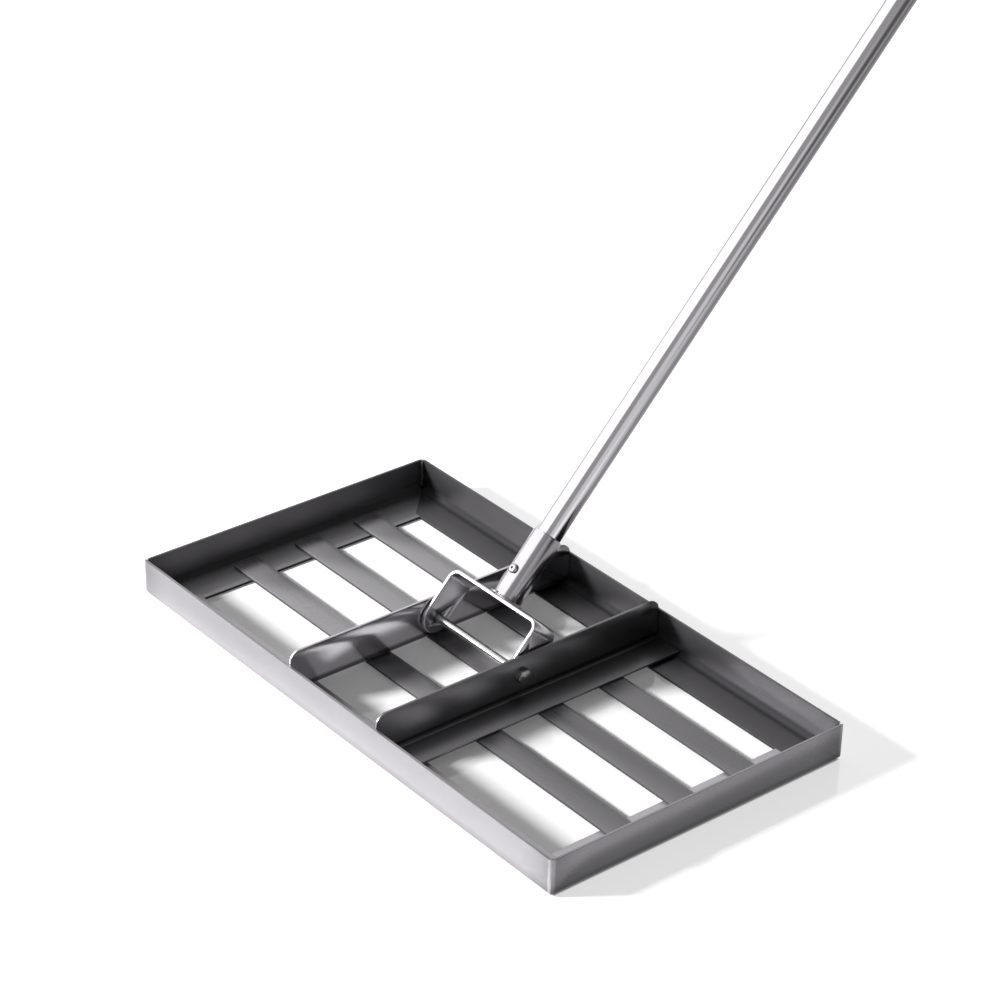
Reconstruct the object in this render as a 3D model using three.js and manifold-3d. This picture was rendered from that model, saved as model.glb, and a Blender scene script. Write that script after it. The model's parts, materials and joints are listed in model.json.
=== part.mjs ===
// Lawn leveling rake: a low welded frame of stainless sheet with three flat slats, two upright
// cross bars, and a screw-together tube handle whose yoke turns on a bolt between the bars.
// Millimetres, +Z up. The head lies level on the ground and its long side runs along X.
import * as THREE from 'three';
import { mergeVertices } from 'three/addons/utils/BufferGeometryUtils.js';
import Module from 'manifold-3d';

const wasm = await Module();
wasm.setup();

// Head frame: four walls of angle section that stand on their inward flanges
const headLength = 457.2;
const headDepth = 254;
const sheet = 2;
const wallHeight = 28;
const wallBendRadius = 2;
const nearFlange = 28.8;
const farFlange = 28.8;
const leftFlange = 34;
const rightFlange = 34;
const cornerSeam = 0.3;
const cornerWeldLeg = 3;
const cornerWeldTopSetback = 1;

// Slats lie on the side flanges and are set a little towards the far wall
const slatNames = ['near_slat', 'middle_slat', 'far_slat'];
const slatWidth = 21;
const slatPitch = 54.4;
const slatFarShift = 7.6;
const slatEndClearance = 7.6;
const slatCornerRadius = 2.5;

// Cross bars: angles that stand on the slats with their feet turned away from each other
const barGap = 95;
const barHeight = 33;
const barFoot = 26;
const barBendRadius = 2.5;
const barTopRadius = 8;
const barEndClearance = 0.4;
const barMiddleX = -4;

// Pivot: one bolt through both bars and both legs of the yoke
const pivotHeight = 21.8;
const boltDiameter = 6;
const boltLength = 110;
const boltHoleClearance = 0.3;
const boltHeadFlats = 10;
const boltHeadHeight = 4;
const boltEndChamfer = 0.8;
const washerDiameter = 12;
const washerThickness = 1.6;
const nutFlats = 10;
const nutHeight = 6;
const threadClearance = 0.05;

// Yoke: one flat strip folded to a U, its legs parallel
const yokeWidth = 25;
const yokeThickness = 3;
const yokeReach = 36.3;
const yokeSideClearance = 0.7;
const yokeBendRadius = 5;
const handleAngleDegrees = 46.6;

// Socket: a short tube welded on the yoke, with one screw that holds the handle
const tubeDiameter = 19;
const tubeWall = 0.6;
const socketDiameter = 22;
const socketLength = 53.5;
const socketClearance = 0.25;
const socketWeldLeg = 1.4;
const seatGap = 0.3;
const screwDiameter = 4;
const screwHeadDiameter = 7.4;
const screwHeadHeight = 2.2;
const screwDomeRadius = 1.4;
const screwUp = 21;
const screwReachIn = 4;
const screwHoleClearance = 0.15;

// Handle: three tube sections screwed end to end, and a cap
const sectionNames = ['lower', 'middle', 'upper'];
const sectionLength = 510;
const plugClearance = 0.1;
const insertLength = 32;
const insertMouthSetback = 0.5;
const studDiameter = 10;
const studLength = 22;
const studClearance = 0.25;
const studEndChamfer = 1;
const studPlugLength = 26;
const collarThickness = 2;
const capPlugLength = 20;
const capSkirtHeight = 5;
const capDomeHeight = 4;

const roundSides = 56;
const smallRoundSides = 32;
const arcSteps = 8;
const cutOverrun = 5;

const up = new THREE.Vector3(0, 0, 1);
const wallBendOuter = wallBendRadius + sheet;
const slatBottom = sheet;
const barBottom = slatBottom + sheet;
const barLength = headDepth - 2 * (sheet + barEndClearance);
const boltHoleRadius = boltDiameter / 2 + boltHoleClearance;
const rightPlateOuterX = barMiddleX + barGap / 2 + sheet;
const leftPlateOuterX = barMiddleX - barGap / 2 - sheet;
const handleTilt = THREE.MathUtils.degToRad(90 - handleAngleDegrees);

const stainless = { color: 0xb9bbbd, roughness: 0.28, metalness: 1 };
const polished = { color: 0xd0d1d3, roughness: 0.16, metalness: 1 };
const plated = { color: 0xc4c4c0, roughness: 0.35, metalness: 1 };
const weldMetal = { color: 0x9c9b98, roughness: 0.5, metalness: 1 };
const blackPlastic = { color: 0x1c1c1e, roughness: 0.55, metalness: 0 };

const rake = new THREE.Group();
const handle = new THREE.Group();
handle.position.set(barMiddleX, 0, pivotHeight);
handle.rotation.x = -handleTilt;
rake.add(handle);

function addMesh(parent, name, geometry, look) {
  const mesh = new THREE.Mesh(geometry, new THREE.MeshStandardMaterial(look));
  mesh.name = name;
  parent.add(mesh);
  return mesh;
}

// A closed geometry as a solid for joins and cuts
function solidOf(geometry) {
  const bare = geometry.clone();
  bare.deleteAttribute('normal');
  bare.deleteAttribute('uv');
  const merged = mergeVertices(bare);
  const vertProperties = new Float32Array(merged.attributes.position.array);
  const triVerts = new Uint32Array(merged.index.array);
  return new wasm.Manifold(new wasm.Mesh({ numProp: 3, vertProperties, triVerts }));
}

function geometryOf(solid) {
  const mesh = solid.getMesh();
  const positions = new Float32Array(mesh.vertProperties);
  const geometry = new THREE.BufferGeometry();
  geometry.setAttribute('position', new THREE.BufferAttribute(positions, 3));
  geometry.setIndex(new THREE.BufferAttribute(new Uint32Array(mesh.triVerts), 1));
  geometry.computeVertexNormals();
  return geometry;
}

function joined(geometries) {
  return geometryOf(geometries.map(solidOf).reduce((sum, next) => sum.add(next)));
}

function extruded(outline, depth) {
  return new THREE.ExtrudeGeometry(outline, { depth, bevelEnabled: false, curveSegments: arcSteps });
}

// A flat outline pushed from one place in space, its x along across and its y along along
function pushed(outline, depth, start, across, along) {
  const geometry = extruded(outline, depth);
  const out = new THREE.Vector3().crossVectors(across, along);
  const place = new THREE.Matrix4().makeBasis(across, along, out).setPosition(start);
  return geometry.applyMatrix4(place);
}

// A round bar along an axis through a centre, the same length to either side
function roundBar(radius, length, centre, axis, sides = smallRoundSides) {
  const geometry = new THREE.CylinderGeometry(radius, radius, length, sides);
  const turn = new THREE.Quaternion().setFromUnitVectors(new THREE.Vector3(0, 1, 0), axis);
  return geometry.applyQuaternion(turn).translate(centre.x, centre.y, centre.z);
}

// A body of revolution about Z from points of radius and height that close on themselves
function turned(points, sides = roundSides) {
  const outline = [...points, points[0]].map(([radius, height]) => new THREE.Vector2(radius, height));
  const geometry = new THREE.LatheGeometry(outline, sides);
  geometry.rotateX(Math.PI / 2);
  return geometryOf(solidOf(geometry));
}

// Hexagonal prism about X, from one end face on, its size given across the flats
function hexagon(flats, height, x, y, z) {
  const radius = flats / Math.sqrt(3);
  const geometry = new THREE.CylinderGeometry(radius, radius, height, 6);
  geometry.rotateZ(Math.PI / 2);
  return geometry.translate(x + height / 2, y, z);
}

function roundedRectangle(length, width, radius) {
  const x = length / 2 - radius;
  const y = width / 2 - radius;
  const outline = new THREE.Shape();
  outline.absarc(x, -y, radius, -Math.PI / 2, 0, false);
  outline.absarc(x, y, radius, 0, Math.PI / 2, false);
  outline.absarc(-x, y, radius, Math.PI / 2, Math.PI, false);
  outline.absarc(-x, -y, radius, Math.PI, 1.5 * Math.PI, false);
  outline.closePath();
  return outline;
}

// Section of a folded angle: the upright's outer face at x = 0, the flange along y = 0
function angleSection(flange, height, insideRadius) {
  const outsideRadius = insideRadius + sheet;
  const outline = new THREE.Shape();
  outline.moveTo(flange, 0);
  outline.lineTo(flange, sheet);
  outline.absarc(outsideRadius, outsideRadius, insideRadius, 1.5 * Math.PI, Math.PI, true);
  outline.lineTo(sheet, height);
  outline.lineTo(0, height);
  outline.absarc(outsideRadius, outsideRadius, outsideRadius, Math.PI, 1.5 * Math.PI, false);
  outline.closePath();
  return outline;
}

// What a mitre takes from a wall's end, seen from above: 45 degrees as far as the narrower
// flange reaches, then square along the neighbour's flange
function mitreCut(ownFlange, otherFlange, length, atEnd) {
  const shared = Math.min(ownFlange, otherFlange);
  const inner = ownFlange > otherFlange ? shared : ownFlange + cutOverrun;
  const points = [
    [-cutOverrun, cornerSeam - cutOverrun],
    [shared, shared + cornerSeam],
    [ownFlange + cutOverrun, inner + cornerSeam],
    [ownFlange + cutOverrun, -cutOverrun - cutOverrun],
    [-cutOverrun, -cutOverrun - cutOverrun],
  ];
  const outline = new THREE.Shape();
  points.forEach(([x, y], index) => {
    const place = atEnd ? length - y : y;
    if (index === 0) {
      outline.moveTo(x, place);
    } else {
      outline.lineTo(x, place);
    }
  });
  outline.closePath();
  const top = new THREE.Vector3(0, wallHeight + cutOverrun, 0);
  const across = new THREE.Vector3(1, 0, 0);
  const along = new THREE.Vector3(0, 0, 1);
  return pushed(outline, wallHeight + 2 * cutOverrun, top, across, along);
}

// One wall of the frame. It starts at a corner, inward points to the frame's middle, and the
// flanges of the walls before and after it set its mitres.
function addWall(name, flange, before, after, length, corner, inward) {
  const section = angleSection(flange, wallHeight, wallBendRadius);
  const blank = extruded(section, length);
  const cut = solidOf(blank)
    .subtract(solidOf(mitreCut(flange, before, length, false)))
    .subtract(solidOf(mitreCut(flange, after, length, true)));
  const along = new THREE.Vector3().crossVectors(inward, up);
  const place = new THREE.Matrix4().makeBasis(inward, up, along).setPosition(corner);
  addMesh(rake, name, geometryOf(cut).applyMatrix4(place), stainless);
}

function addFrame() {
  const x = headLength / 2;
  const y = headDepth / 2;
  const toRight = new THREE.Vector3(1, 0, 0);
  const toLeft = new THREE.Vector3(-1, 0, 0);
  const toFar = new THREE.Vector3(0, 1, 0);
  const toNear = new THREE.Vector3(0, -1, 0);
  const nearLeft = new THREE.Vector3(-x, -y, 0);
  const nearRight = new THREE.Vector3(x, -y, 0);
  const farRight = new THREE.Vector3(x, y, 0);
  const farLeft = new THREE.Vector3(-x, y, 0);
  addWall('near_wall', nearFlange, leftFlange, rightFlange, headLength, nearLeft, toFar);
  addWall('right_wall', rightFlange, nearFlange, farFlange, headDepth, nearRight, toLeft);
  addWall('far_wall', farFlange, rightFlange, leftFlange, headLength, farRight, toNear);
  addWall('left_wall', leftFlange, farFlange, nearFlange, headDepth, farLeft, toRight);
}

// Upright fillet beads inside the four corners
function addCornerWelds() {
  const bottom = wallBendOuter;
  const height = wallHeight - cornerWeldTopSetback - bottom;
  const corners = { near_left: [-1, -1], near_right: [1, -1], far_right: [1, 1], far_left: [-1, 1] };
  for (const [place, [sideX, sideY]] of Object.entries(corners)) {
    const outline = new THREE.Shape();
    outline.moveTo(0, 0);
    outline.lineTo(cornerWeldLeg, 0);
    outline.lineTo(0, cornerWeldLeg);
    outline.closePath();
    const x = sideX * (headLength / 2 - sheet);
    const y = sideY * (headDepth / 2 - sheet);
    const corner = new THREE.Vector3(x, y, bottom);
    const alongX = new THREE.Vector3(-sideX, 0, 0);
    const alongY = new THREE.Vector3(0, -sideY, 0);
    const ordered = sideX * sideY > 0 ? [alongX, alongY] : [alongY, alongX];
    addMesh(rake, `${place}_weld`, pushed(outline, height, corner, ...ordered), weldMetal);
  }
}

function addSlats() {
  const length = headLength - 2 * (wallBendOuter + slatEndClearance);
  slatNames.forEach((name, index) => {
    const y = slatFarShift + (index - (slatNames.length - 1) / 2) * slatPitch;
    const start = new THREE.Vector3(0, y, slatBottom);
    const outline = roundedRectangle(length, slatWidth, slatCornerRadius);
    const slat = pushed(outline, sheet, start, new THREE.Vector3(1, 0, 0), new THREE.Vector3(0, 1, 0));
    addMesh(rake, name, slat, stainless);
  });
}

// One cross bar, its plate's inner face on the given side of the middle and its foot outward
function addCrossBar(name, side) {
  const outward = new THREE.Vector3(side, 0, 0);
  const along = new THREE.Vector3().crossVectors(outward, up);
  const section = angleSection(barFoot, barHeight, barBendRadius);
  const blank = extruded(section, barLength);

  const upright = new THREE.Shape();
  upright.moveTo(0, -cutOverrun);
  upright.lineTo(barLength, -cutOverrun);
  upright.absarc(barLength - barTopRadius, barHeight - barTopRadius, barTopRadius, 0, Math.PI / 2, false);
  upright.absarc(barTopRadius, barHeight - barTopRadius, barTopRadius, Math.PI / 2, Math.PI, false);
  upright.closePath();
  const depth = barFoot + 2 * cutOverrun;
  const start = new THREE.Vector3(barFoot + cutOverrun, 0, 0);
  const rounded = pushed(upright, depth, start, new THREE.Vector3(0, 0, 1), new THREE.Vector3(0, 1, 0));

  const holeCentre = new THREE.Vector3(0, pivotHeight - barBottom, barLength / 2);
  const hole = roundBar(boltHoleRadius, 2 * cutOverrun, holeCentre, new THREE.Vector3(1, 0, 0));
  const bar = solidOf(blank).intersect(solidOf(rounded)).subtract(solidOf(hole));
  const corner = new THREE.Vector3(barMiddleX + side * barGap / 2, 0, barBottom);
  corner.addScaledVector(along, -barLength / 2);
  const place = new THREE.Matrix4().makeBasis(outward, up, along).setPosition(corner);
  addMesh(rake, name, geometryOf(bar).applyMatrix4(place), stainless);
}

// The bolt's head bears on the right bar; washer and lock nut close on the left one
function addPivot() {
  const headX = rightPlateOuterX;
  const endX = headX - boltLength;
  const radius = boltDiameter / 2;
  const tip = boltEndChamfer;
  const points = [[0, 0], [radius - tip, 0], [radius, tip], [radius, boltLength], [0, boltLength]];
  const shank = turned(points, smallRoundSides);
  shank.rotateY(Math.PI / 2);
  shank.translate(endX, 0, pivotHeight);
  const head = hexagon(boltHeadFlats, boltHeadHeight, headX, 0, pivotHeight);
  addMesh(rake, 'pivot_bolt', joined([shank, head]), plated);

  const washerX = leftPlateOuterX - washerThickness;
  const bore = boltHoleRadius;
  const rim = washerDiameter / 2;
  const ring = [[bore, 0], [rim, 0], [rim, washerThickness], [bore, washerThickness]];
  const washer = turned(ring, smallRoundSides);
  washer.rotateY(Math.PI / 2);
  washer.translate(washerX, 0, pivotHeight);
  addMesh(rake, 'pivot_washer', washer, plated);

  const nutX = washerX - nutHeight;
  const nutBody = solidOf(hexagon(nutFlats, nutHeight, nutX, 0, pivotHeight));
  const nutCentre = new THREE.Vector3(nutX + nutHeight / 2, 0, pivotHeight);
  const threadLength = nutHeight + 2 * cutOverrun;
  const thread = roundBar(radius + threadClearance, threadLength, nutCentre, new THREE.Vector3(1, 0, 0));
  addMesh(rake, 'pivot_nut', geometryOf(nutBody.subtract(solidOf(thread))), plated);
}

// Yoke, drawn across X and the handle's direction, with its round feet about the pivot
function addYoke() {
  const half = barGap / 2 - yokeSideClearance;
  const innerHalf = half - yokeThickness;
  const outerRadius = yokeBendRadius + yokeThickness;
  const bendX = half - outerRadius;
  const bendY = yokeReach - outerRadius;
  const footRadius = yokeWidth / 2;
  const square = Math.PI / 2;
  const outline = new THREE.Shape();
  outline.moveTo(half, -footRadius);
  outline.absarc(bendX, bendY, outerRadius, 0, square, false);
  outline.absarc(-bendX, bendY, outerRadius, square, Math.PI, false);
  outline.lineTo(-half, -footRadius);
  outline.lineTo(-innerHalf, -footRadius);
  outline.absarc(-bendX, bendY, yokeBendRadius, Math.PI, square, true);
  outline.absarc(bendX, bendY, yokeBendRadius, square, 0, true);
  outline.lineTo(innerHalf, -footRadius);
  outline.closePath();
  const start = new THREE.Vector3(0, yokeWidth / 2, 0);
  const strip = pushed(outline, yokeWidth, start, new THREE.Vector3(1, 0, 0), up);

  const profile = new THREE.Shape();
  profile.moveTo(footRadius, 0);
  profile.lineTo(footRadius, yokeReach + cutOverrun);
  profile.lineTo(-footRadius, yokeReach + cutOverrun);
  profile.absarc(0, 0, footRadius, Math.PI, 2 * Math.PI, false);
  profile.closePath();
  const width = 2 * (half + cutOverrun);
  const from = new THREE.Vector3(-width / 2, 0, 0);
  const rounded = pushed(profile, width, from, new THREE.Vector3(0, 1, 0), up);
  const hole = roundBar(boltHoleRadius, width, new THREE.Vector3(0, 0, 0), new THREE.Vector3(1, 0, 0));
  const yoke = solidOf(strip).intersect(solidOf(rounded)).subtract(solidOf(hole));
  addMesh(handle, 'yoke', geometryOf(yoke), polished);
}

function addSocket() {
  const bottom = yokeReach + seatGap;
  const outer = socketDiameter / 2;
  const inner = tubeDiameter / 2 + socketClearance;
  const screwHeight = bottom + screwUp;
  const cross = new THREE.Vector3(0, 1, 0);
  const holeRadius = screwDiameter / 2 + screwHoleClearance;
  const hole = roundBar(holeRadius, socketDiameter, new THREE.Vector3(0, -outer, screwHeight), cross);
  const tube = turned([[inner, 0], [outer, 0], [outer, socketLength], [inner, socketLength]]);
  tube.translate(0, 0, bottom);
  addMesh(handle, 'handle_socket', geometryOf(solidOf(tube).subtract(solidOf(hole))), polished);

  const weldInner = outer + seatGap;
  const weldOuter = outer + socketWeldLeg;
  const bead = turned([[weldInner, 0], [weldOuter, 0], [weldInner, socketWeldLeg]]);
  bead.translate(0, 0, bottom);
  addMesh(handle, 'socket_weld', bead, weldMetal);

  // Domed head outside the socket on its upper side, shank through both walls
  const headRadius = screwHeadDiameter / 2;
  const shankRadius = screwDiameter / 2;
  const shankLength = outer - (tubeDiameter / 2 - tubeWall) + screwReachIn;
  const domeSteps = 4;
  const shankFoot = [[0, -shankLength], [shankRadius, -shankLength]];
  const points = [...shankFoot, [shankRadius, seatGap], [headRadius, seatGap]];
  const rise = screwHeadHeight - screwDomeRadius;
  for (let step = 0; step <= domeSteps; step += 1) {
    const angle = (step / domeSteps) * Math.PI / 2;
    const fall = headRadius - screwDomeRadius + screwDomeRadius * Math.cos(angle);
    points.push([fall, seatGap + rise + screwDomeRadius * Math.sin(angle)]);
  }
  points.push([0, seatGap + screwHeadHeight]);
  const screw = turned(points, smallRoundSides);
  screw.rotateX(Math.PI / 2);
  screw.translate(0, -outer, screwHeight);
  addMesh(handle, 'socket_screw', screw, plated);
}

// Three tube sections; a stud in the foot of each upper one screws into an insert below it
function addHandle() {
  const outer = tubeDiameter / 2;
  const inner = outer - tubeWall;
  const plug = inner - plugClearance;
  const studRadius = studDiameter / 2;
  const boreRadius = studRadius + studClearance;
  const step = sectionLength + collarThickness + 2 * seatGap;
  const first = yokeReach + 2 * seatGap;
  sectionNames.forEach((name, index) => {
    const bottom = first + index * step;
    const top = bottom + sectionLength;
    let tube = turned([[inner, 0], [outer, 0], [outer, sectionLength], [inner, sectionLength]]);
    tube.translate(0, 0, bottom);
    if (index === 0) {
      const screwHeight = yokeReach + seatGap + screwUp;
      const centre = new THREE.Vector3(0, -outer, screwHeight);
      const holeRadius = screwDiameter / 2 + screwHoleClearance;
      const hole = roundBar(holeRadius, tubeDiameter / 2, centre, new THREE.Vector3(0, 1, 0));
      tube = geometryOf(solidOf(tube).subtract(solidOf(hole)));
    } else {
      const collarBottom = bottom - seatGap - collarThickness;
      const neck = collarBottom + collarThickness;
      const stud = turned([
        [0, collarBottom - studLength],
        [studRadius - studEndChamfer, collarBottom - studLength],
        [studRadius, collarBottom - studLength + studEndChamfer],
        [studRadius, collarBottom],
        [outer, collarBottom],
        [outer, neck],
        [plug, neck],
        [plug, neck + studPlugLength],
        [0, neck + studPlugLength],
      ]);
      addMesh(handle, `${name}_tube_stud`, stud, blackPlastic);
    }
    addMesh(handle, `${name}_tube`, tube, polished);
    if (index < sectionNames.length - 1) {
      const mouth = top - insertMouthSetback;
      const insert = turned([
        [0, mouth - insertLength],
        [plug, mouth - insertLength],
        [plug, mouth],
        [boreRadius, mouth],
        [boreRadius, mouth - studLength - 2 * insertMouthSetback],
        [0, mouth - studLength - 2 * insertMouthSetback],
      ]);
      addMesh(handle, `${name}_tube_insert`, insert, blackPlastic);
    } else {
      addEndCap(top + seatGap, outer, plug);
    }
  });
}

function addEndCap(seat, outer, plug) {
  const domeSteps = 6;
  const points = [[0, seat - capPlugLength], [plug, seat - capPlugLength], [plug, seat], [outer, seat]];
  for (let step = 0; step < domeSteps; step += 1) {
    const angle = (step / domeSteps) * Math.PI / 2;
    points.push([outer * Math.cos(angle), seat + capSkirtHeight + capDomeHeight * Math.sin(angle)]);
  }
  points.push([0, seat + capSkirtHeight + capDomeHeight]);
  addMesh(handle, 'end_cap', turned(points), blackPlastic);
}

addFrame();
addCornerWelds();
addSlats();
addCrossBar('left_crossbar', -1);
addCrossBar('right_crossbar', 1);
addPivot();
addYoke();
addSocket();
addHandle();

// The origin is on the ground under the middle of the whole rake's outline
rake.updateMatrixWorld(true);
const outline = new THREE.Box3().setFromObject(rake, true);
const middle = outline.getCenter(new THREE.Vector3());
rake.position.set(-middle.x, -middle.y, -outline.min.z);
rake.updateMatrixWorld(true);

export default rake;
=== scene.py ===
import json
import math

import bmesh
import bpy
from mathutils import Matrix, Vector


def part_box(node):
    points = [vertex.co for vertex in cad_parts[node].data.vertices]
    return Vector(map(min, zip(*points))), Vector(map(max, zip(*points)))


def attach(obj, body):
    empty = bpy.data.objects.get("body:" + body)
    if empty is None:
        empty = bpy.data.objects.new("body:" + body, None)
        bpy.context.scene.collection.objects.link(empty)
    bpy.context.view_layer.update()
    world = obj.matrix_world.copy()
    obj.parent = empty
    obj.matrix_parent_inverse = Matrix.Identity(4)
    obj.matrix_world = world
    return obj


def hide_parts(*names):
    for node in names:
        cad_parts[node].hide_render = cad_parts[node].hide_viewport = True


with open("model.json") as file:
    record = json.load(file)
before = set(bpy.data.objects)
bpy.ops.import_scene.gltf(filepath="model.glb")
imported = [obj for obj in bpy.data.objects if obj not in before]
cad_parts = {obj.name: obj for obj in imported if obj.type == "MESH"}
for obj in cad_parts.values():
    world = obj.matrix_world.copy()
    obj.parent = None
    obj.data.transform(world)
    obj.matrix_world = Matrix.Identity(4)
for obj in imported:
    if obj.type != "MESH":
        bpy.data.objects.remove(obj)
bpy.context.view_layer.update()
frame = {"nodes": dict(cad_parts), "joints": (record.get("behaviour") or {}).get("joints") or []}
print("frame loaded:", len(frame["nodes"]), "nodes")

# places that several pieces share, read from the frame
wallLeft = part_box("left_wall")[0].x
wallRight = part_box("right_wall")[1].x
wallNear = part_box("near_wall")[0].y
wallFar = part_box("far_wall")[1].y
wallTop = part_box("near_wall")[1].z
headMiddle = Vector(((wallLeft + wallRight) / 2, (wallNear + wallFar) / 2, 0))
up = Vector((0, 0, 1))

pivotJoint = frame["joints"][0]
pivot = Vector(pivotJoint["pos_m"])
handleAngle = 46.6  # degrees above the ground at rest
handlePlace = Matrix.Translation(pivot) @ Matrix.Rotation(math.radians(handleAngle - 90), 4, "X")
handleBack = handlePlace.inverted()

merge = 1e-7  # points closer than this, in metres, become one
match = 1e-6  # what lies within this of a place counts as on it


# shader helpers


class Flow:  # one value in a shader, on which Python's signs add Math nodes
    def __init__(self, graph, socket):
        self.graph = graph
        self.socket = socket

    def maths(self, operation, first, second):
        return self.graph.add("ShaderNodeMath", {"operation": operation}, {0: first, 1: second})

    def __add__(self, other):
        return self.maths("ADD", self, other)

    def __radd__(self, other):
        return self.maths("ADD", other, self)

    def __sub__(self, other):
        return self.maths("SUBTRACT", self, other)

    def __rsub__(self, other):
        return self.maths("SUBTRACT", other, self)

    def __mul__(self, other):
        return self.maths("MULTIPLY", self, other)

    def __rmul__(self, other):
        return self.maths("MULTIPLY", other, self)


class Graph:  # a node tree that is filled one node at a time
    def __init__(self, tree):
        self.tree = tree
        self.tree.nodes.clear()

    def add(self, kind, settings=None, sockets=None, out=0):
        node = self.tree.nodes.new(kind)
        for key, value in (settings or {}).items():
            setattr(node, key, value)
        for key, value in (sockets or {}).items():
            if isinstance(value, Flow):
                self.tree.links.new(value.socket, node.inputs[key])
            else:
                node.inputs[key].default_value = value
        return Flow(self, node.outputs[out] if len(node.outputs) else None)

    def axes(self, place):  # the X, Y and Z of a place or a direction
        node = self.add("ShaderNodeSeparateXYZ", None, {"Vector": place}).socket.node
        return [Flow(self, node.outputs[axis]) for axis in "XYZ"]

    def unsigned(self, value):
        return self.add("ShaderNodeMath", {"operation": "ABSOLUTE"}, {0: value})

    def noise(self, place, scale, detail=2, roughness=0.5, distortion=0.0):
        sockets = {"Vector": place, "Scale": scale, "Detail": detail, "Roughness": roughness,
                   "Distortion": distortion}
        return self.add("ShaderNodeTexNoise", None, sockets)

    def blend(self, share, first, second, how="MIX"):  # a colour between two, by a value from 0 to 1
        settings = {"data_type": "RGBA", "blend_type": how}
        return self.add("ShaderNodeMix", settings, {0: share, 6: first, 7: second}, out=2)

    def tint(self, share, low, high):
        return self.blend(share, (*low, 1), (*high, 1))

    def spread(self, value, low, high, to=(0, 1)):  # eases from the first of to, at low, to the second, at high
        settings = {"interpolation_type": "SMOOTHSTEP"}
        sockets = {"Value": value, "From Min": low, "From Max": high, "To Min": to[0], "To Max": to[1]}
        return self.add("ShaderNodeMapRange", settings, sockets)

    def seenRays(self):  # 1 for rays that see or mirror a surface, 0 for those that only gather its light
        node = self.add("ShaderNodeLightPath").socket.node
        camera, glossy, through = (Flow(self, node.outputs["Is " + kind + " Ray"])
                                   for kind in ("Camera", "Glossy", "Transmission"))
        return camera + glossy + through

    def surface(self, sockets):
        shader = self.add("ShaderNodeBsdfPrincipled", None, sockets)
        self.add("ShaderNodeOutputMaterial", None, {"Surface": shader})


def newMaterial(name):
    material = bpy.data.materials.new(name)
    material.use_nodes = True
    return material, Graph(material.node_tree)


def grey(level, warmth=0.0):  # a linear colour near grey, warmer or cooler
    return (level * (1 + warmth), level, level * (1 - warmth))


# steels

# tone: linear grey. The pieces are one steel, and their different tones are painted shade and painted reflection,
# set by how much light each piece catches. flange: the flange's tone. outside: axis, face, upper and lower tone and
# roughness of a wall's outer face; the lower tone is painted shade towards the ground. cutTop: height under which
# cut edges are
# painted dark, a painted shade. fade: (from X, to X, tone reached there) along a slat, a painted reflection. tip:
# tone of a bar's far top corner, which is darker. under: a tube's radius, the heights in radii between which it
# turns darker towards its underside, a painted shade, and the share of its tone that is left there.
steelFinishesAndPaintedLight = {
    "nearWallSteel": {"tone": 0.30, "rough": 0.42, "grain": "X", "flange": 0.40, "cutTop": 0.00193,
                      "outside": ("Y", wallNear, 0.225, 0.28, 0.42)},
    "farWallSteel": {"tone": 0.09, "rough": 0.42, "grain": "X", "flange": 0.10, "cutTop": 0.00193,
                     "outside": ("Y", wallFar, 0.60, 0.50, 0.26)},
    "rightWallSteel": {"tone": 0.30, "rough": 0.42, "grain": "Y", "flange": 0.44, "cutTop": 0.00193,
                       "outside": ("X", wallRight, 0.175, 0.115, 0.27)},
    "leftWallSteel": {"tone": 0.14, "rough": 0.45, "grain": "Y", "flange": 0.24, "cutTop": 0.00193,
                      "outside": ("X", wallLeft, 0.60, 0.50, 0.27)},
    "slatSteel": {"tone": 0.40, "rough": 0.28, "metal": 0.65, "grain": "X", "cutTop": 0.00398,
                  "fade": ((-0.21, -0.17, 0.27), (-0.19, -0.10, 0.24), (-0.06, 0.06, 0.155))},
    "leftBarSteel": {"tone": 0.54, "rough": 0.16, "grain": "Y", "tip": 0.10},
    "rightBarSteel": {"tone": 0.185, "rough": 0.34, "grain": "Y", "tip": 0.04},
    "yokeSteel": {"tone": 0.44, "rough": 0.25, "grain": "Y"},
    "tubeSteel": {"tone": 0.54, "rough": 0.13, "grain": "handle", "under": (0.0095, -0.45, 0.0, 0.30)},
    "socketSteel": {"tone": 0.46, "rough": 0.15, "grain": "handle", "under": (0.011, -0.95, -0.4, 0.44)},
}
grainTurns = {"X": (0, math.radians(90), 0), "Y": (math.radians(90), 0, 0),
              "handle": (math.radians(90 - handleAngle), 0, 0)}
steelDetail = {
    "lineCount": 1400, "lineLength": 9, "lineStrength": 0.035, "lineDepth": 0.00003,  # the brushed lines
    "scratchCount": 260, "scratchLength": 18, "scratchFrom": (0.66, 0.74), "scratchDepth": 0.2,
    "cloudSize": 11, "cloudShare": 0.85, "smudgeSize": 34, "smudgeFrom": (0.55, 0.72),
    "wander": 0.05, "warmth": (0.004, -0.006), "cast": (1.03, 1.0, 1.05),  # how far the colour strays
    "weldTint": 0.40, "weldTintLeast": 0.7,  # how much duller a wall turns near its welded corners
    # painted shade in the folds of walls and bars, and a painted highlight on the walls' rounded outer corners
    "foldShade": 0.62, "foldRough": 0.35, "barFoldShade": 0.75, "roundHighlight": 0.7,
    # the near black of the low cut edges is painted shade
    "edgeShadeColour": (0.05, 0.05, 0.05, 1), "cutRough": 0.3,
    "roughLines": 0.03, "roughClouds": 0.05, "roughSmudges": 0.03, "roughScratches": 0.02,
}
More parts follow.
